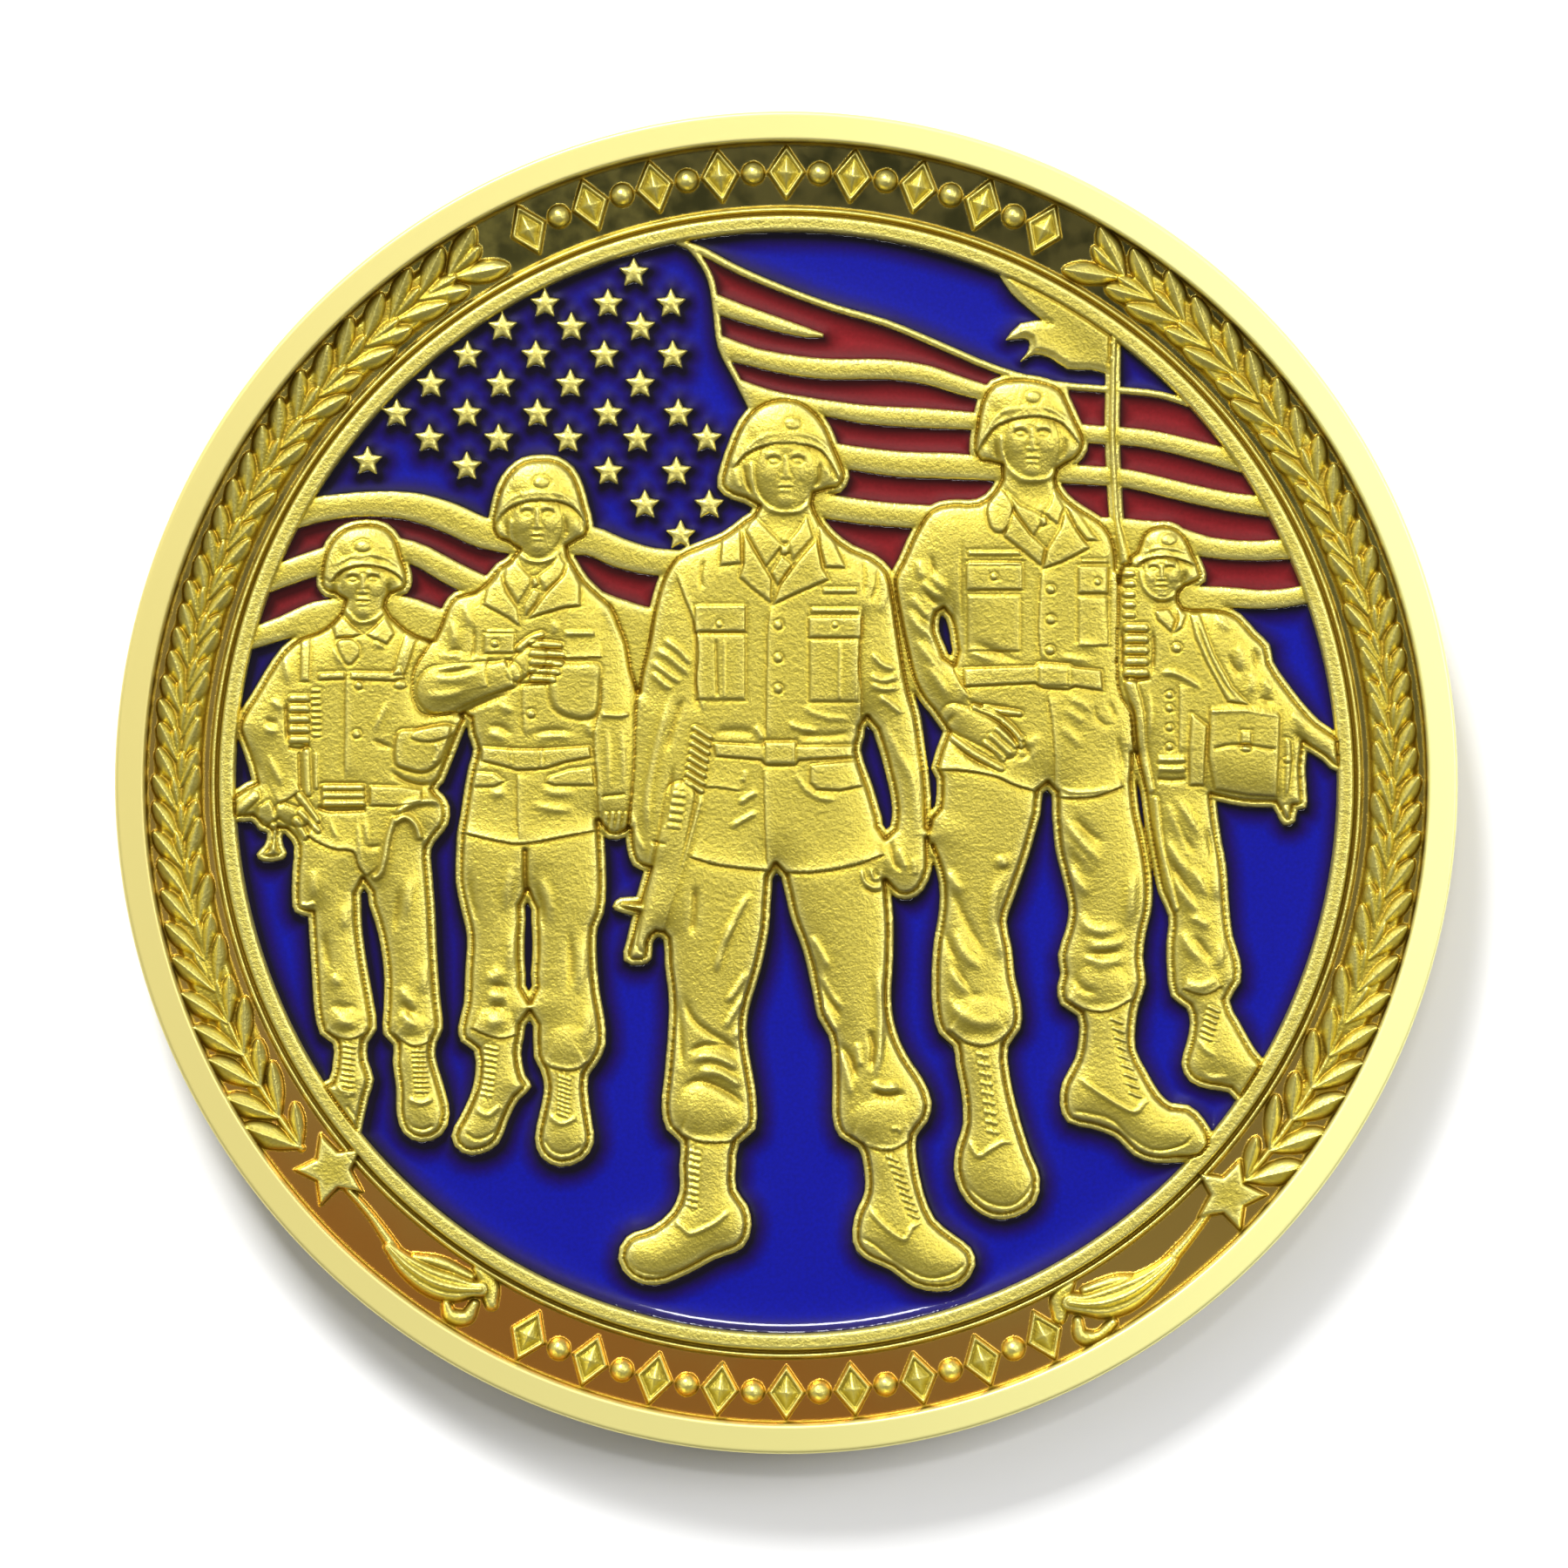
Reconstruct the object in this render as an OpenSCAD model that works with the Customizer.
// Challenge coin: a struck metal body with five standing soldiers before a flag, and one
// separate enamel fill for every cell that the metal walls close off.
// The coin lies flat. The origin is the centre of its underside, +Z comes out of the picture
// side and +Y points to the top of the picture. Millimetres.

/* [Coin] */
// Outside diameter of the coin
coin_diameter = 40; // [30:1:60]
// Thickness over both rims
coin_thickness = 3; // [2.4:0.1:5]
// Width of the flat outer rim
rim_width = 0.84; // [0.4:0.02:1.6]
// Small bevel on the outside corners of the rim
rim_bevel = 0.12; // [0.05:0.01:0.3]

/* [Picture side] */
// Depth of the sunk band inside the rim
band_depth = 0.8; // [0.4:0.05:1.2]
// Depth of the tops of the cell walls below the rim
wall_depth = 0.5; // [0.3:0.05:0.8]
// Depth of the pockets that hold the enamel, from the tops of their walls
pocket_depth = 0.5; // [0.3:0.05:0.8]
// How far the enamel stays below the tops of its walls
enamel_sink = 0.15; // [0.05:0.01:0.3]
// Clearance all round each enamel fill
enamel_gap = 0.01; // [0.005:0.005:0.05]
// Width of the flat ledge left round the figures
ledge = 0.12; // [0.08:0.01:0.2]

/* [Ring and wreath] */
// Inside radius of the ring round the picture
picture_radius = 16.45; // [14:0.05:18]
// Number of leaf pairs on each branch
leaf_pairs = 34; // [8:1:40]
// Length of a leaf halfway between the longest and the shortest
leaf_length = 1.45; // [0.6:0.05:2]
// Width of one leaf
leaf_width = 0.42; // [0.2:0.02:0.8]
// Radius of the two large stars on the band
band_star_radius = 1.15; // [0.6:0.05:1.4]

/* [Flag] */
// Radius of the small stars on the flag
star_radius = 0.42; // [0.3:0.01:0.6]
// Inner corners of a star, as a share of its radius
star_waist = 0.5; // [0.38:0.01:0.7]

/* [Back] */
// Depth of the sunk field on the back
back_depth = 0.4; // [0.2:0.05:0.6]
// Height of the raised work on the back
back_relief = 0.25; // [0.1:0.05:0.4]

/* [Hidden] */

// The drawing below is made for a coin of 40 mm; art scales it to the coin asked for.
art = coin_diameter / 40;
coin_radius = coin_diameter / 2;
rim_inside = coin_radius - rim_width;
band_level = coin_thickness - band_depth;
wall_level = coin_thickness - wall_depth;
floor_level = wall_level - pocket_depth;
enamel_level = wall_level - enamel_sink;
ring_level = wall_level + 0.14;
round_facets = 180;

// Tops of the five figures, each a little higher than the one behind it.
level_five = wall_level + 0.06;
level_one = wall_level + 0.10;
level_two = wall_level + 0.16;
level_four = wall_level + 0.20;
level_three = wall_level + 0.24;
level_pennant = wall_level + 0.03;
level_staff = wall_level + 0.08;
level_wreath = band_level + 0.45;
level_ornament = band_level + 0.40;

gold = [0.86, 0.78, 0.35];
blue = [0.05, 0.06, 0.55];
red = [0.55, 0.08, 0.12];

// ---------------------------------------------------------------- curves

// A control point is [x, y] for a smooth point, or [x, y, 1] for a sharp corner.
function spot(p) = [p[0], p[1]];
function unit(v) = norm(v) == 0 ? [0, 0] : v / norm(v);
function is_corner(p) = len(p) > 2 && p[2] == 1;

// Direction of travel through point i of a closed outline.
function heading(p, i) =
  let (n = len(p))
  is_corner(p[i]) ? [0, 0] : unit(spot(p[(i + 1) % n]) - spot(p[(i + n - 1) % n]));

// Point at t (0 to 1) between a and b, leaving a along u and reaching b along v.
function between(a, b, u, v, t) =
  a * (2 * pow(t, 3) - 3 * t * t + 1) + u * (pow(t, 3) - 2 * t * t + t)
  + b * (3 * t * t - 2 * pow(t, 3)) + v * (pow(t, 3) - t * t);

// Number of straight pieces that stand for one curved stretch.
function pieces(a, b) =
  is_corner(a) && is_corner(b) ? 1 : max(2, min(3, ceil(norm(spot(b) - spot(a)) / 0.4)));

// Closed smooth outline through the control points.
function outline(p) = [
  for (i = [0 : len(p) - 1])
    let (j = (i + 1) % len(p))
    let (a = spot(p[i]))
    let (b = spot(p[j]))
    let (run = norm(b - a))
    let (n = pieces(p[i], p[j]))
    for (k = [0 : n - 1])
      art * between(a, b, run * heading(p, i), run * heading(p, j), k / n)
];

// Open smooth line through [x, y, width] points, given as the same kind of points.
function line_heading(p, i) =
  spot(p[min(i + 1, len(p) - 1)]) - spot(p[max(i - 1, 0)]);
function smooth_line(p) = [
  for (i = [0 : len(p) - 2])
    let (a = spot(p[i]))
    let (b = spot(p[i + 1]))
    let (run = norm(b - a))
    let (u = run * unit(line_heading(p, i)))
    let (v = run * unit(line_heading(p, i + 1)))
    for (k = [0 : 2])
      let (t = k / 3)
      concat(between(a, b, u, v, t), p[i][2] * (1 - t) + p[i + 1][2] * t),
  p[len(p) - 1]
];

// Outline of a ribbon that follows an open line and has its width at every point.
function side_point(c, i, side) =
  let (d = unit(line_heading(c, i)))
  art * (spot(c[i]) + side * c[i][2] / 2 * [-d[1], d[0]]);
function ribbon(p) =
  let (c = smooth_line(p))
  concat(
    [for (i = [0 : len(c) - 1]) side_point(c, i, 1)],
    [for (i = [len(c) - 1 : -1 : 0]) side_point(c, i, -1)]
  );

// Five-pointed star with its first point up.
function star(radius, turn) = [
  for (i = [0 : 9])
    (i % 2 == 0 ? radius : radius * star_waist)
    * [cos(90 + turn + 36 * i), sin(90 + turn + 36 * i)]
];

// ---------------------------------------------------------------- figures, left to right

figure_one = [
  // helmet
  [-12.5, 7.83], [-11.9, 7.7], [-11.52, 7.28], [-11.38, 6.8], [-11.22, 6.35], [-11.18, 6.0],
  [-11.32, 5.68], [-11.7, 5.52],
  // shoulder, then out of sight behind the second figure
  [-11.82, 5.25], [-11.5, 4.85], [-11.0, 4.5], [-10.4, 4.3], [-9.9, 3.6], [-9.7, 2.6],
  // sleeve and pouch beside the second figure
  [-9.45, 1.85, 1], [-9.6, 1.62], [-9.82, 1.08], [-10.05, 0.5], [-10.25, 0.02], [-10.42, -0.2],
  [-10.25, -0.38], [-10.06, -0.75], [-10.12, -1.25], [-10.38, -1.6], [-10.62, -1.98],
  // leg and boot
  [-10.58, -2.8], [-10.5, -3.8], [-10.45, -5.0], [-10.35, -6.4], [-10.27, -7.35],
  [-10.45, -7.75], [-10.48, -8.2], [-10.25, -9.0], [-10.06, -9.9], [-10.3, -10.5],
  [-10.9, -10.7], [-11.4, -10.45], [-11.6, -9.9], [-11.62, -9.1], [-11.72, -8.3],
  [-11.7, -7.82], [-12.0, -7.5], [-11.98, -6.6], [-11.98, -5.6], [-12.15, -4.5],
  [-12.42, -3.65], [-12.6, -3.12],
  // other leg, with the toe of the boot cut off by the ring
  [-12.7, -3.7], [-12.65, -4.6], [-12.5, -5.6], [-12.32, -6.6], [-12.24, -7.35],
  [-12.5, -7.75], [-12.5, -8.3], [-12.32, -8.85], [-12.48, -9.4], [-12.62, -10.05],
  [-12.85, -10.6], [-14.1, -9.2], [-13.62, -8.85], [-13.5, -8.3], [-13.5, -7.78],
  [-13.88, -7.5], [-14.05, -6.8], [-14.12, -5.8], [-14.2, -4.6], [-14.24, -3.98, 1],
  // scabbard and the flared piece below the hand
  [-14.62, -3.86], [-14.72, -3.5], [-14.7, -2.5], [-14.66, -1.9], [-14.85, -1.6],
  [-15.04, -1.5], [-15.02, -1.9], [-14.93, -2.1], [-15.05, -2.28], [-15.6, -2.32],
  [-15.78, -2.15], [-15.56, -1.9], [-15.46, -1.5], [-15.7, -1.4], [-15.95, -1.12],
  // pouch against the ring, elbow and upper arm
  [-16.45, -1.15], [-16.75, -0.8], [-16.5, -0.28], [-15.92, 0.06, 1], [-16.02, 0.45],
  [-16.22, 1.05], [-16.42, 1.6], [-16.3, 2.05], [-15.95, 2.6], [-15.5, 3.35], [-15.05, 4.0],
  [-14.5, 4.42], [-14.0, 4.6], [-13.6, 4.88], [-13.3, 5.38],
  // back to the helmet
  [-13.75, 5.58], [-13.98, 5.85], [-13.97, 6.3], [-13.85, 6.9], [-13.58, 7.38], [-13.15, 7.7]
];

figure_two = [
  // helmet
  [-7.3, 9.76], [-6.8, 9.7], [-6.35, 9.38], [-6.08, 8.85], [-5.93, 8.3], [-5.78, 7.7],
  [-5.9, 7.25], [-6.4, 6.98],
  // shoulder and sleeve, then behind the third figure
  [-6.25, 6.6], [-5.95, 6.12], [-5.5, 5.68], [-5.1, 5.32], [-4.85, 4.75], [-4.62, 4.15],
  [-4.5, 3.4], [-4.2, 2.4], [-4.2, 0.0], [-4.4, -1.2],
  // hand
  [-4.85, -1.62], [-5.3, -1.66], [-5.46, -1.52, 1],
  // leg and boot
  [-5.42, -2.2], [-5.4, -3.2], [-5.47, -3.9], [-5.66, -4.35], [-5.68, -5.2], [-5.6, -6.2],
  [-5.44, -7.1], [-5.42, -7.85], [-5.68, -8.4], [-5.92, -8.75], [-5.92, -9.4], [-5.8, -10.2],
  [-5.76, -10.75], [-6.1, -11.25], [-6.75, -11.44], [-7.3, -11.15], [-7.48, -10.6],
  [-7.35, -9.9], [-7.2, -9.1], [-7.3, -8.6], [-7.5, -8.2], [-7.53, -7.6], [-7.66, -7.05],
  // other leg and boot
  [-7.85, -7.6], [-7.93, -8.1], [-7.8, -8.75], [-7.62, -9.06], [-8.0, -9.45], [-8.28, -9.98],
  [-8.6, -10.75], [-9.1, -11.05], [-9.65, -11.03], [-9.98, -10.55], [-9.7, -9.95],
  [-9.42, -9.35], [-9.26, -8.7], [-9.3, -8.0], [-9.68, -7.72], [-9.77, -7.3], [-9.6, -6.6],
  [-9.55, -5.6], [-9.5, -4.6], [-9.68, -3.75], [-9.83, -3.0], [-9.83, -2.2], [-9.8, -1.52, 1],
  // jacket up to the waist
  [-9.7, -1.0], [-9.58, -0.2], [-9.45, 0.5], [-9.32, 0.98], [-9.46, 1.4], [-9.52, 1.85, 1],
  // bent elbow and upper arm
  [-9.9, 2.0], [-10.7, 1.9], [-11.1, 2.18], [-11.25, 2.8], [-11.15, 3.45], [-10.8, 4.02],
  [-10.45, 4.65], [-10.2, 5.3], [-9.9, 5.66], [-9.35, 5.8], [-8.98, 6.1], [-8.65, 6.5],
  [-8.15, 6.92],
  // back to the helmet
  [-8.65, 7.16], [-8.87, 7.6], [-8.8, 8.2], [-8.62, 8.85], [-8.3, 9.36], [-7.85, 9.68]
];

figure_three = [
  // helmet
  [0.0, 11.56], [0.5, 11.44], [0.95, 11.1], [1.3, 10.62], [1.55, 10.0], [1.78, 9.45],
  [1.86, 9.1], [1.6, 8.68], [0.95, 8.52],
  // shoulder and arm
  [0.98, 8.1], [1.4, 7.5], [2.0, 7.05], [2.6, 6.8], [3.1, 6.35], [3.3, 5.6], [3.45, 4.6],
  [3.6, 3.6], [3.78, 2.7], [3.98, 2.0], [4.12, 1.0], [4.26, 0.0], [4.3, -1.0],
  // hand
  [4.33, -2.0], [4.32, -2.6], [4.05, -3.2], [3.7, -3.44], [3.3, -3.42], [3.1, -3.26, 1],
  // leg and boot
  [3.17, -4.2], [3.15, -5.4], [3.1, -6.5], [3.25, -7.4], [3.6, -8.18], [4.05, -8.85],
  [4.32, -9.55], [4.18, -10.12], [3.86, -10.55], [3.9, -11.4], [4.1, -12.3], [4.42, -13.02],
  [5.0, -13.5], [5.5, -13.9], [5.62, -14.4], [5.2, -15.0], [4.5, -15.16], [3.8, -15.02],
  [3.1, -14.52], [2.3, -14.14], [2.0, -13.7], [2.05, -12.95], [2.35, -12.2], [2.32, -11.4],
  [2.15, -10.88], [1.6, -10.55], [1.4, -10.0], [1.4, -9.0], [1.38, -8.1], [1.28, -7.55],
  [0.96, -7.0], [0.8, -6.2], [0.52, -5.0], [0.15, -4.0], [-0.05, -3.15], [-0.3, -2.64],
  // other leg and boot
  [-0.46, -3.2], [-0.55, -4.4], [-0.8, -5.6], [-1.15, -6.8], [-1.2, -7.6], [-1.02, -8.7],
  [-0.9, -9.6], [-0.95, -10.35], [-1.42, -10.76], [-1.52, -11.5], [-1.5, -12.14],
  [-1.18, -12.6], [-1.05, -13.2], [-1.3, -13.85], [-2.1, -14.18], [-3.0, -14.66],
  [-3.9, -14.97], [-4.6, -14.8], [-5.0, -14.2], [-4.75, -13.55], [-4.0, -13.25],
  [-3.45, -12.8], [-3.17, -12.2], [-3.18, -11.4], [-3.15, -10.72], [-3.55, -10.35],
  [-3.7, -9.7], [-3.6, -8.6], [-3.5, -7.4], [-3.48, -6.4], [-3.6, -5.4], [-3.64, -4.7],
  [-3.85, -4.58], [-4.02, -4.8],
  // muzzle and front sight of the rifle
  [-4.05, -5.25], [-4.35, -5.42], [-4.82, -5.3], [-4.75, -4.75], [-4.56, -3.95, 1],
  [-4.95, -3.84], [-5.16, -3.7], [-4.95, -3.46], [-4.46, -3.44, 1], [-4.22, -2.62, 1],
  [-4.55, -2.46], [-4.72, -2.0], [-4.78, -1.4],
  // rifle and arm beside the second figure
  [-4.7, -0.4], [-4.62, 0.8], [-4.58, 2.0], [-4.48, 3.1], [-4.25, 4.1], [-4.05, 5.2],
  [-3.78, 6.12], [-3.35, 6.8], [-2.7, 7.12], [-1.9, 7.45], [-1.3, 7.9], [-0.98, 8.2],
  // back to the helmet
  [-1.6, 8.46], [-2.03, 8.8], [-1.95, 9.4], [-1.7, 10.15], [-1.4, 10.8], [-1.0, 11.25],
  [-0.5, 11.5]
];

figure_four = [
  // helmet
  [6.8, 12.15], [7.6, 12.08], [8.22, 11.82], [8.5, 11.35], [8.72, 10.85], [8.95, 10.35],
  [8.95, 9.9], [8.65, 9.52], [8.2, 9.25],
  // shoulder and hanging arm
  [8.2, 8.85], [8.6, 8.4], [9.1, 8.08], [9.6, 7.7], [9.9, 7.1], [9.97, 6.0], [9.97, 4.6],
  [9.95, 3.2], [10.08, 2.55], [10.34, 2.15], [10.42, 1.4], [10.46, 0.6], [10.42, 0.0, 1],
  // leg and boot, with the toe against the ring
  [10.5, -0.8], [10.72, -1.8], [10.88, -2.8], [10.88, -3.7], [10.7, -4.5], [10.62, -5.2],
  [10.7, -6.0], [10.5, -6.6], [10.4, -7.2], [10.4, -7.95], [10.72, -8.6], [11.15, -9.3],
  [11.5, -9.58], [12.0, -9.64], [12.45, -10.05], [12.75, -10.75], [12.35, -11.25],
  [11.7, -11.3], [11.0, -11.32], [10.4, -11.12], [9.8, -10.56], [9.1, -10.3], [8.4, -10.12],
  [8.18, -9.6], [8.25, -8.95], [8.62, -8.25], [8.75, -7.6], [8.7, -6.95], [8.2, -6.62],
  [8.1, -6.1], [8.2, -5.7], [8.12, -5.15], [8.35, -4.4], [8.45, -3.8], [8.3, -3.0],
  [8.05, -2.0], [7.95, -1.0], [7.78, -0.18],
  // other leg and boot
  [7.55, -0.95], [7.2, -2.2], [6.8, -3.35], [6.55, -4.15], [6.7, -4.9], [6.8, -5.8],
  [7.0, -6.7], [6.95, -7.35], [6.6, -7.85], [6.62, -8.6], [6.85, -9.7], [7.25, -11.0],
  [7.55, -11.8], [7.4, -12.55], [6.8, -12.95], [6.1, -12.98], [5.4, -12.5], [5.05, -11.8],
  [5.05, -11.0], [5.28, -10.2], [5.25, -9.3], [5.08, -8.4], [5.0, -7.86], [4.58, -7.48],
  [4.4, -6.8], [4.36, -5.8], [4.42, -4.8], [4.58, -3.8], [4.58, -3.0], [4.38, -2.3],
  // hip, then the elbow beside the third figure
  [4.1, -1.6], [4.2, -1.0], [4.46, -0.7], [4.5, 0.1, 1], [4.34, 0.42, 1], [4.5, 1.0],
  [4.7, 1.52, 1], [4.3, 2.08], [4.0, 2.44], [3.7, 3.0], [3.45, 4.0], [3.2, 5.2], [3.1, 6.1],
  // upper arm, shoulder and collar
  [3.35, 6.62], [3.75, 7.5], [4.25, 8.22], [4.9, 8.42], [5.7, 8.44], [6.15, 8.8],
  [6.3, 9.36],
  // back to the helmet
  [5.75, 9.45], [5.48, 9.9], [5.56, 10.6], [5.7, 11.35], [6.1, 11.98]
];

figure_five = [
  // helmet
  [11.25, 7.78], [11.7, 7.66], [12.05, 7.3], [12.25, 6.82], [12.45, 6.4], [12.48, 6.02],
  [12.1, 5.8], [11.82, 5.62], [11.9, 5.32],
  // shoulder, arm and the strap that reaches the ring
  [12.5, 5.28], [13.1, 5.22], [13.55, 5.0], [14.0, 4.5], [14.4, 4.1], [14.5, 3.6],
  [14.9, 3.0], [15.4, 2.35], [15.9, 1.82], [16.5, 1.4], [16.8, 0.9], [16.5, 0.32],
  [16.0, 0.68], [15.52, 0.98, 1],
  // bag
  [15.46, 0.4], [15.5, -0.3], [15.48, -0.74], [15.22, -0.8], [15.15, -1.15], [14.85, -1.25],
  [14.66, -0.95], [14.52, -0.72, 1], [13.6, -0.68], [12.8, -0.52, 1],
  // leg and boot, with the toe cut off by the ring
  [12.92, -1.5], [13.1, -2.5], [13.18, -3.6], [13.3, -4.6], [13.52, -5.3], [13.52, -5.95],
  [13.2, -6.5], [13.5, -7.15], [13.95, -7.95], [14.35, -8.6], [13.8, -9.7], [13.2, -9.22],
  [12.6, -9.12], [12.05, -8.9], [11.8, -8.4], [11.95, -7.8], [12.06, -7.2], [11.95, -6.72],
  [11.5, -6.38], [11.38, -5.6], [11.36, -4.8], [11.42, -4.0],
  // muzzle and rifle, then behind the fourth figure
  [11.12, -3.3], [10.92, -2.4], [10.72, -1.3], [10.58, -0.3], [10.3, 0.8], [9.8, 2.4],
  [9.7, 4.4], [9.75, 6.0], [10.0, 6.72], [10.34, 6.95], [10.5, 7.4], [10.8, 7.68]
];

// ---------------------------------------------------------------- flag, staff and pennant

// Lines of metal in the flag, each point [x, y, width].
flag_top = [
  [-4.0, 16.5, 0.1], [-3.2, 16.13, 0.16], [-2.5, 15.85, 0.2], [-1.5, 15.32, 0.18],
  [0.0, 14.68, 0.16], [1.5, 14.14, 0.16], [3.0, 13.7, 0.16], [4.5, 13.08, 0.16],
  [6.3, 12.32, 0.16], [8.0, 11.88, 0.16], [10.0, 11.7, 0.16], [11.2, 11.56, 0.16],
  [12.3, 11.2, 0.16]
];
canton_edge = [
  [-3.1, 16.2, 0.14], [-2.6, 15.65, 0.14], [-2.25, 15.0, 0.14], [-2.08, 14.0, 0.14],
  [-1.95, 13.0, 0.14], [-1.5, 12.1, 0.14], [-1.12, 11.35, 0.14], [-0.8, 10.7, 0.14]
];
stripe_one = [
  [-2.4, 14.38, 0.55], [-1.4, 14.03, 0.46], [-0.3, 13.68, 0.38], [0.6, 13.43, 0.24],
  [1.08, 13.34, 0.06]
];
stripe_two = [
  [-2.3, 13.1, 0.66], [-1.0, 12.7, 0.5], [0.2, 12.45, 0.54], [1.4, 12.33, 0.56],
  [3.0, 12.33, 0.54], [4.2, 12.16, 0.52], [5.2, 11.84, 0.48], [6.4, 11.55, 0.4],
  [8.4, 11.6, 0.4]
];
stripe_three = [
  [-1.8, 11.8, 0.66], [-0.4, 11.38, 0.56], [1.0, 11.2, 0.42], [2.4, 10.98, 0.5],
  [4.0, 10.88, 0.54], [5.6, 10.78, 0.48], [7.4, 10.6, 0.48], [9.0, 10.4, 0.5],
  [10.6, 10.28, 0.48], [12.0, 9.98, 0.5], [13.6, 9.55, 0.56], [14.6, 9.3, 0.6]
];
stripe_four = [
  [0.6, 9.9, 0.7], [2.0, 9.68, 0.66], [3.4, 9.5, 0.7], [5.0, 9.44, 0.72], [6.8, 9.3, 0.6],
  [8.6, 9.2, 0.52], [10.2, 9.06, 0.5], [11.8, 8.68, 0.5], [13.2, 8.38, 0.5],
  [14.6, 8.2, 0.56]
];
stripe_five = [
  [0.6, 8.35, 0.7], [1.8, 8.15, 0.68], [3.0, 8.0, 0.66], [4.6, 7.9, 0.66], [7.0, 7.8, 0.6],
  [9.2, 7.6, 0.6], [10.2, 7.4, 0.9], [11.2, 7.36, 0.74], [12.6, 7.02, 0.56], [13.8, 6.92, 0.52],
  [15.2, 6.98, 0.56]
];
stripe_six = [
  [10.8, 5.4, 0.8], [12.0, 5.48, 0.72], [13.2, 5.52, 0.56], [14.2, 5.46, 0.5],
  [15.1, 5.54, 0.5], [16.2, 5.78, 0.5]
];
left_border = [
  [-16.2, 7.35, 0.8], [-14.6, 8.0, 0.76], [-13.2, 8.26, 0.66], [-12.0, 8.31, 0.7],
  [-11.0, 8.2, 0.8], [-10.0, 7.88, 0.86], [-9.0, 7.44, 0.86], [-7.4, 7.2, 0.86],
  [-5.9, 7.22, 0.84], [-5.0, 6.86, 0.84], [-4.0, 6.6, 0.76], [-2.6, 6.5, 0.76]
];
left_stripe_one = [
  [-16.6, 5.6, 0.7], [-15.3, 6.1, 0.68], [-14.0, 6.56, 0.7], [-12.5, 6.98, 0.68],
  [-11.2, 6.88, 0.62], [-10.0, 6.26, 0.68], [-9.0, 5.8, 0.66], [-8.0, 5.5, 0.66]
];
left_stripe_two = [
  [-17.0, 3.98, 0.56], [-16.0, 4.28, 0.56], [-15.0, 4.62, 0.64], [-14.0, 4.9, 0.95],
  [-12.6, 5.1, 0.9], [-11.4, 5.1, 0.86], [-10.5, 4.78, 0.86], [-9.8, 4.6, 0.8]
];
left_stripe_three = [[-6.2, 4.95, 1.9], [-5.2, 4.4, 2.2], [-4.2, 4.1, 2.2], [-3.4, 4.0, 2.2]];
staff = [
  [9.76, 13.5, 0.4], [9.74, 12.0, 0.4], [9.72, 10.4, 0.4], [9.78, 9.0, 0.4],
  [9.86, 7.8, 0.38], [10.05, 6.9, 0.56], [10.1, 6.4, 0.5]
];
pennant = [
  [6.36, 15.16, 1], [6.72, 14.62], [7.2, 14.18], [7.72, 13.76, 1], [7.0, 13.68],
  [6.58, 13.22, 1], [6.98, 13.26], [7.25, 13.2], [7.25, 12.9], [7.05, 12.62, 1],
  [7.4, 12.8], [7.9, 12.68], [8.4, 12.36], [9.1, 12.34], [9.6, 12.2, 1], [9.95, 13.5, 1],
  [8.6, 14.4], [7.4, 15.0]
];

// The flag covers everything above this line and below its own top edge.
flag_foot = [
  [17, 6.1], [15.6, 5.48], [14.2, 5.3], [12.0, 5.4], [10.6, 5.0], [7.0, 6.0], [3.2, 5.7],
  [0.0, 5.0], [-4.2, 3.8], [-6.0, 4.2], [-10.0, 3.4], [-13.0, 3.6], [-14.2, 4.5],
  [-15.0, 4.36], [-16.0, 4.08], [-17.2, 3.6]
];

// Positions of the small stars, row by row: [first x, y, spacing, number].
star_rows = [
  [-4.55, 15.2, 2, 1], [-7.2, 14.28, 1.88, 3], [-8.47, 13.58, 2.06, 3],
  [-9.51, 12.74, 2.04, 4], [-10.6, 11.88, 2.08, 4], [-11.62, 11.0, 2.1, 5],
  [-10.65, 10.25, 2.07, 5], [-12.49, 9.58, 2.1, 1], [-9.53, 9.42, 2.1, 1],
  [-5.3, 9.27, 2.02, 2], [-4.22, 8.28, 1.92, 2], [-3.15, 7.38, 2, 1]
];

// ---------------------------------------------------------------- flat shapes

module picture_disc() {
  circle(r = picture_radius * art, $fn = round_facets);
}

module figures() {
  polygon(outline(figure_one));
  polygon(outline(figure_two));
  polygon(outline(figure_three));
  polygon(outline(figure_four));
  polygon(outline(figure_five));
}

// Slivers of enamel that are closed off inside a figure.
module figure_openings() {
  polygon(outline([
    [-7.72, -3.5], [-7.58, -4.2], [-7.55, -5.0], [-7.6, -5.7], [-7.67, -6.28],
    [-7.8, -5.7], [-7.84, -4.9], [-7.8, -4.1]
  ]));
  polygon(outline([
    [2.42, 1.75], [2.72, 1.2], [2.98, 0.3], [3.15, -0.5], [3.17, -1.05], [2.98, -1.45],
    [2.82, -1.0], [2.55, -0.1], [2.2, 0.95], [2.3, 1.35]
  ]));
  polygon(outline([
    [4.66, 5.02], [4.84, 4.7], [4.93, 4.2], [4.92, 3.74], [4.72, 4.05], [4.54, 4.5],
    [4.54, 4.85]
  ]));
}

module flag_lines() {
  difference() {
    union() {
      polygon(ribbon(stripe_one));
      polygon(ribbon(stripe_two));
      polygon(ribbon(stripe_three));
      polygon(ribbon(stripe_four));
      polygon(ribbon(stripe_five));
      polygon(ribbon(stripe_six));
    }
    canton_area();
  }
  polygon(ribbon(flag_top));
  polygon(ribbon(canton_edge));
  polygon(ribbon(left_border));
  polygon(ribbon(left_stripe_one));
  polygon(ribbon(left_stripe_two));
  polygon(ribbon(left_stripe_three));
}

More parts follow.
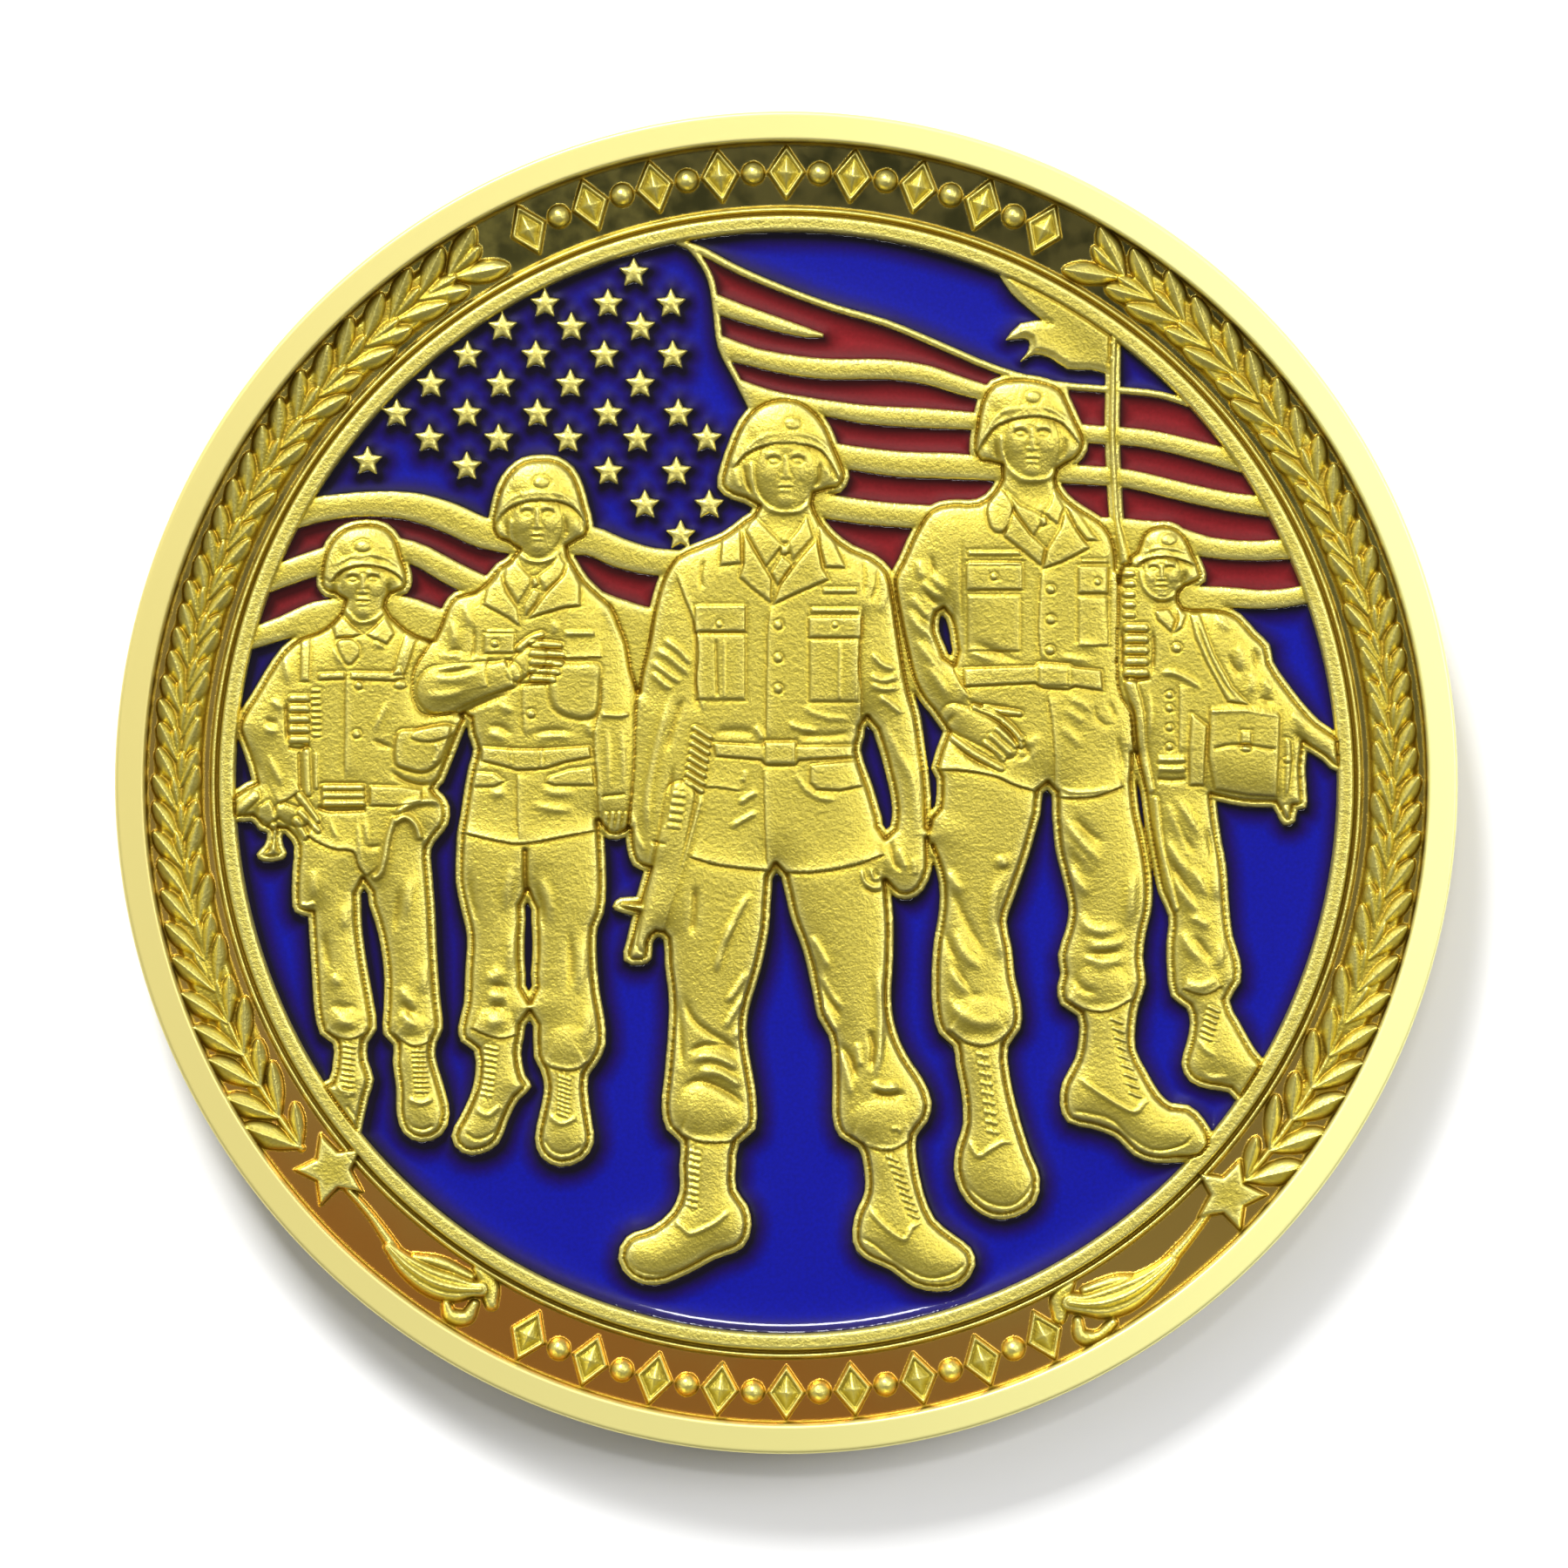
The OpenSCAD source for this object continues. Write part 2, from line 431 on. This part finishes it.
module metal_walls() {
  difference() {
    figures();
    figure_openings();
  }
  flag_lines();
  polygon(ribbon(staff));
  polygon(outline(pennant));
  for (row = star_rows)
    for (i = [0 : row[3] - 1])
      translate(art * [row[0] + i * row[2], row[1]])
        polygon(star(star_radius * art, 0));
}

module flag_area() {
  polygon(art * concat(
    [for (p = smooth_line(flag_top)) spot(p)],
    [[17, 11]],
    flag_foot,
    [[-17.2, 12], [-10, 17.2], [-4.2, 17]]
  ));
}

module canton_area() {
  polygon(art * concat(
    [for (p = smooth_line(canton_edge)) spot(p)],
    [[-0.5, 8], [-2.0, 6.5]],
    [for (i = [len(left_border) - 1 : -1 : 0]) spot(left_border[i])],
    [[-17.2, 12], [-10, 17.2], [-4, 17.2]]
  ));
}

// Every open cell of one colour, before it is cut up into single cells.
module canton_cells() {
  difference() {
    intersection() {
      picture_disc();
      canton_area();
    }
    metal_walls();
  }
}

module red_cells() {
  difference() {
    intersection() {
      picture_disc();
      flag_area();
    }
    canton_area();
    metal_walls();
  }
}

module blue_cells() {
  difference() {
    picture_disc();
    flag_area();
    canton_area();
    metal_walls();
  }
}

// Window that picks one cell out of all of its colour.
module window(points) {
  polygon(art * points);
}

function box(x0, y0, x1, y1) = [[x0, y0], [x1, y0], [x1, y1], [x0, y1]];

// ---------------------------------------------------------------- the struck body

module turned_blank() {
  rotate_extrude($fn = round_facets)
    polygon([
      [0, back_depth],
      [rim_inside - 0.1, back_depth],
      [rim_inside, 0],
      [coin_radius - rim_bevel, 0],
      [coin_radius, rim_bevel],
      [coin_radius, coin_thickness - rim_bevel],
      [coin_radius - rim_bevel, coin_thickness],
      [rim_inside, coin_thickness],
      [rim_inside - 0.06, band_level],
      [17.16 * art, band_level],
      [17.12 * art, wall_level],
      [16.94 * art, wall_level],
      [16.9 * art, ring_level],
      [16.52 * art, ring_level],
      [16.48 * art, wall_level],
      [0, wall_level]
    ]);
}

module pockets() {
  translate([0, 0, floor_level])
    linear_extrude(height = 2 * pocket_depth)
      offset(delta = 0.001)
        union() {
          canton_cells();
          red_cells();
          blue_cells();
        }
}

module raised_figure(points, level) {
  translate([0, 0, wall_level - 0.2])
    linear_extrude(height = level - wall_level + 0.2)
      offset(delta = -ledge)
        difference() {
          intersection() {
            polygon(outline(points));
            circle(r = 16.74 * art, $fn = round_facets);
          }
          figure_openings();
        }
}

module raised_staff() {
  translate([0, 0, wall_level - 0.2])
    linear_extrude(height = level_staff - wall_level + 0.2)
      offset(delta = -ledge)
        polygon(ribbon(staff));
}

module raised_pennant() {
  translate([0, 0, wall_level - 0.2])
    linear_extrude(height = level_pennant - wall_level + 0.2)
      offset(delta = -0.06)
        polygon(outline(pennant));
}

// One pointed leaf that grows from the origin along +X.
module leaf(length, width) {
  polygon([
    [0, 0], [0.3 * length, width / 2], [0.62 * length, width / 2], [length, 0],
    [0.62 * length, -width / 2], [0.3 * length, -width / 2]
  ]);
}

// Leaves in pairs along a branch on the band. side is -1 for left and +1 for right.
// Angles are measured from the top of the coin. Pairs stand wider apart, and their leaves are
// longer, towards both ends of the branch.
module branch(side) {
  first = side < 0 ? 127 : 131;
  last = 34;
  for (i = [0 : leaf_pairs - 1]) {
    share = i / (leaf_pairs - 1);
    spaced = share + 0.035 * sin(360 * share);
    length = leaf_length * (1 + 0.15 * cos(360 * share));
    along = first + (last - first) * spaced;
    rotate(-side * along)
      translate([0, 18.12 * art])
        for (out = [-1, 1])
          rotate(90 + side * 90 - side * (out > 0 ? 34 : -26))
            translate([0.06 * art, 0])
              leaf(length * art, leaf_width * art);
  }
}

module wreath() {
  translate([0, 0, band_level - 0.2])
    linear_extrude(height = level_wreath - band_level + 0.2)
      offset(delta = 0.02)
        union() {
          branch(-1);
          branch(1);
        }
}

// Star, stem and tassel at the foot of each branch.
module band_ornament(star_at, turn, stem, tassel) {
  translate(art * star_at)
    polygon(star(band_star_radius * art, turn));
  polygon(ribbon(stem));
  polygon(ribbon(tassel));
}

module band_ornaments() {
  translate([0, 0, band_level - 0.2])
    linear_extrude(height = level_ornament - band_level + 0.2)
      offset(delta = 0.01)
        union() {
          band_ornament(
            [-13.55, -11.55], 18,
            [[-13.2, -12.0, 0.16], [-12.4, -12.9, 0.2], [-11.7, -13.9, 0.3]],
            [[-11.9, -13.8, 0.3], [-11.1, -14.5, 0.95], [-10.1, -15.0, 1.1], [-8.8, -15.15, 0.8]]
          );
          band_ornament(
            [13.2, -12.3], -18,
            [[12.6, -12.8, 0.2], [12.0, -13.6, 0.26], [11.3, -14.4, 0.4]],
            [[11.5, -14.2, 0.4], [10.6, -15.0, 0.9], [9.4, -15.6, 1.0], [8.1, -15.6, 0.6]]
          );
        }
}

// Plain lozenges and beads along an arc of the band, about the top or the foot of the coin.
module bead_row(middle, spread, number) {
  for (i = [0 : number - 1])
    rotate(middle - spread / 2 + spread * i / (number - 1))
      translate([0, 18.2 * art])
        if (i % 2 == 0)
          polygon(art * [[0, 0.78], [0.52, 0], [0, -0.78], [-0.52, 0]]);
        else
          circle(r = 0.31 * art, $fn = 16);
}

module bead_rows() {
  translate([0, 0, band_level - 0.2])
    linear_extrude(height = level_ornament - band_level + 0.2)
      offset(delta = 0.01)
        union() {
          bead_row(0, 50, 17);
          bead_row(180, 50, 17);
        }
}

// Plain raised star and ring of beads on the back.
module back_relief_work() {
  translate([0, 0, back_depth - back_relief])
    linear_extrude(height = back_relief + 0.2)
      offset(delta = 0.01)
        union() {
          mirror([1, 0])
            polygon(star(9 * art, 0));
          for (i = [0 : 31])
            rotate(i * 360 / 32)
              translate([0, 16.6 * art])
                circle(r = 0.55 * art, $fn = 16);
        }
}

module struck_body() {
  color(gold)
    union() {
      difference() {
        turned_blank();
        pockets();
      }
      raised_figure(figure_five, level_five);
      raised_figure(figure_one, level_one);
      raised_figure(figure_two, level_two);
      raised_figure(figure_four, level_four);
      raised_figure(figure_three, level_three);
      raised_staff();
      raised_pennant();
      wreath();
      band_ornaments();
      bead_rows();
      back_relief_work();
    }
}

// ---------------------------------------------------------------- enamel fills

// One fill: the part of its children that lies in the window, resting on the pocket floor.
module fill(colour, points) {
  color(colour)
    translate([0, 0, floor_level])
      linear_extrude(height = enamel_level - floor_level)
        offset(delta = -enamel_gap)
          intersection() {
            children();
            window(points);
          }
}

module enamel_canton() {
  fill(blue, box(-17, 5, 1, 17)) canton_cells();
}

module enamel_sky_top() {
  fill(blue, box(-5, 11.6, 9.8, 17)) blue_cells();
}

module enamel_sky_staff() {
  fill(blue, box(9.8, 11, 13, 14)) blue_cells();
}

module enamel_stripe_a1() {
  fill(red, concat(
    [[-3.2, 16.4], [7.4, 12.6], [7.4, 11.7]],
    [for (i = [7 : -1 : 0]) spot(stripe_two[i])]
  )) red_cells();
}

// The cells between two neighbouring stripes, left of the fourth figure.
module enamel_between(upper, lower, x_first, x_last) {
  fill(red, concat(
    [for (p = upper) if (p[0] >= x_first && p[0] <= x_last) spot(p)],
    [
      for (i = [len(lower) - 1 : -1 : 0])
        if (lower[i][0] >= x_first && lower[i][0] <= x_last) spot(lower[i])
    ]
  )) red_cells();
}

module enamel_stripe_a2() {
  enamel_between(stripe_two, stripe_three, -3, 7.4);
}

module enamel_stripe_a3() {
  enamel_between(stripe_three, stripe_four, 0, 7.4);
}

module enamel_stripe_a4() {
  enamel_between(stripe_four, stripe_five, 0, 7.2);
}

module enamel_stripe_a5() {
  fill(red, [[0.6, 8.3], [1.8, 8.15], [3.0, 8.0], [4.6, 7.9], [4.6, 6], [0.6, 6]]) red_cells();
}

module enamel_stripe_b1() {
  fill(red, [[7.6, 12.2], [9.74, 12.2], [9.72, 10.35], [7.6, 10.6]]) red_cells();
}

module enamel_stripe_b2() {
  fill(red, [[7.6, 10.55], [9.72, 10.35], [9.76, 9.12], [7.6, 9.25]]) red_cells();
}

module enamel_stripe_b3() {
  fill(red, [[7.6, 9.25], [9.76, 9.12], [9.88, 7.58], [7.6, 7.8]]) red_cells();
}

module enamel_stripe_c1() {
  fill(red, [[9.74, 12.2], [14, 12.2], [14, 9.45], [12.0, 9.98], [9.72, 10.35]]) red_cells();
}

module enamel_stripe_c2() {
  fill(red, [
    [9.72, 10.35], [12.0, 9.98], [15, 9.2], [15, 8.15], [13.2, 8.38], [11.8, 8.68],
    [9.78, 9.12]
  ]) red_cells();
}

module enamel_stripe_c3() {
  fill(red, [
    [9.78, 9.12], [11.8, 8.68], [13.2, 8.38], [16, 8.1], [16, 7.0], [13.8, 6.92],
    [12.6, 7.02], [11.2, 7.42], [9.9, 7.58]
  ]) red_cells();
}

module enamel_stripe_c4() {
  fill(red, [[11.9, 7.2], [12.6, 7.02], [13.8, 6.92], [16, 7.0], [16, 5.6], [11.9, 5.56]])
    red_cells();
}

module enamel_stripe_d1() {
  fill(red, [
    [-17, 7.0], [-14.6, 8.0], [-12.0, 8.31], [-10.0, 7.88], [-9.0, 7.44], [-7.6, 7.0],
    [-7.6, 5.5], [-9.0, 5.8], [-10.0, 6.26], [-11.2, 6.88], [-12.5, 6.98], [-14.0, 6.56],
    [-15.3, 6.1], [-17, 5.4]
  ]) red_cells();
}

module enamel_stripe_d2() {
  fill(red, [
    [-17, 5.4], [-15.3, 6.1], [-14.0, 6.56], [-12.5, 6.98], [-12.5, 5.2], [-14.0, 5.0],
    [-15.0, 4.62], [-17, 4.0]
  ]) red_cells();
}

module enamel_stripe_d3() {
  fill(red, [[-12.5, 6.98], [-11.2, 6.88], [-9.0, 5.8], [-9.0, 4.6], [-11.4, 5.1], [-12.5, 5.2]])
    red_cells();
}

module enamel_stripe_d4() {
  fill(red, [[-7.2, 7.2], [-5.9, 7.22], [-4.0, 6.6], [-3.0, 6.5], [-3.0, 4.4], [-6.4, 5.2]])
    red_cells();
}

module enamel_field_main() {
  fill(blue, [
    // down the inside of the first figure's legs and round the foot of the picture
    [-9.0, 2.2], [-10.4, 1.6], [-10.9, -2.2], [-11.2, -6.5], [-12.4, -2.8], [-13.0, -2.8],
    [-13.3, -5.0], [-13.1, -9.0], [-13.5, -10.6], [-14.0, -17.0], [12.3, -17.0],
    // up through the fourth figure and down its other leg
    [12.3, -11.45], [10.5, -10.5], [9.4, -9.0], [9.5, -2.0], [8.6, 0.2], [7.2, 0.2],
    [6.4, -2.4], [5.4, -2.4], [4.4, -1.9],
    // through the third figure and its rifle
    [4.1, -2.2], [2.4, -2.6], [1.5, -4.0], [0.4, -2.3], [-0.9, -2.3], [-2.0, -4.0],
    [-3.6, -3.6], [-3.9, -4.3], [-4.0, -3.0], [-4.2, -2.0], [-4.4, -1.2],
    // through the second figure
    [-5.6, -1.3], [-6.5, -4.0], [-6.6, -8.0], [-7.3, -6.75], [-8.0, -6.75], [-8.8, -8.0],
    [-8.8, -3.0]
  ]) blue_cells();
}

module enamel_field_left() {
  fill(blue, [[-17, -0.9], [-14.3, -1.2], [-13.9, -4], [-13.2, -8], [-13.4, -10], [-17, -8]])
    blue_cells();
}

module enamel_field_right() {
  fill(blue, [[15.2, 1.4], [17, 1.0], [17, -8], [14.3, -9], [12.6, -6], [12.6, -0.2], [15, -0.2]])
    blue_cells();
}

module enamel_field_step() {
  fill(blue, [
    [10.3, 0.4], [10.8, 0.4], [12.4, -7], [12.6, -8.9], [15, -9.6], [13, -11.2], [12, -10.6],
    [9.8, -8.4], [10, -2]
  ]) blue_cells();
}

module enamel_gap_shoulder_left() {
  fill(blue, [[-17, 5], [-14.5, 4.9], [-14.9, 3.4], [-16.0, 1.9], [-17, 1.8]]) blue_cells();
}

module enamel_gap_elbow_left() {
  fill(blue, [[-17, 1.8], [-16.2, 1.8], [-15.4, 0.2], [-17, -0.7]]) blue_cells();
}

module enamel_gap_shoulder_right() {
  fill(blue, [[12.4, 5.6], [17, 6.2], [17, 1.1], [15, 2], [13, 4]]) blue_cells();
}

module enamel_gap_knees() {
  fill(blue, box(-8.1, -6.6, -7.3, -3.2)) blue_cells();
}

module enamel_gap_skirt() {
  fill(blue, box(2.0, -1.7, 3.4, 2.0)) blue_cells();
}

module enamel_gap_hip() {
  fill(blue, box(3.7, -1.9, 4.9, 2.7)) blue_cells();
}

module enamel_gap_elbow() {
  fill(blue, box(4.4, 3.6, 5.1, 5.2)) blue_cells();
}

struck_body();
enamel_canton();
enamel_sky_top();
enamel_sky_staff();
enamel_stripe_a1();
enamel_stripe_a2();
enamel_stripe_a3();
enamel_stripe_a4();
enamel_stripe_a5();
enamel_stripe_b1();
enamel_stripe_b2();
enamel_stripe_b3();
enamel_stripe_c1();
enamel_stripe_c2();
enamel_stripe_c3();
enamel_stripe_c4();
enamel_stripe_d1();
enamel_stripe_d2();
enamel_stripe_d3();
enamel_stripe_d4();
enamel_field_main();
enamel_field_left();
enamel_field_right();
enamel_field_step();
enamel_gap_shoulder_left();
enamel_gap_elbow_left();
enamel_gap_shoulder_right();
enamel_gap_knees();
enamel_gap_skirt();
enamel_gap_hip();
enamel_gap_elbow();
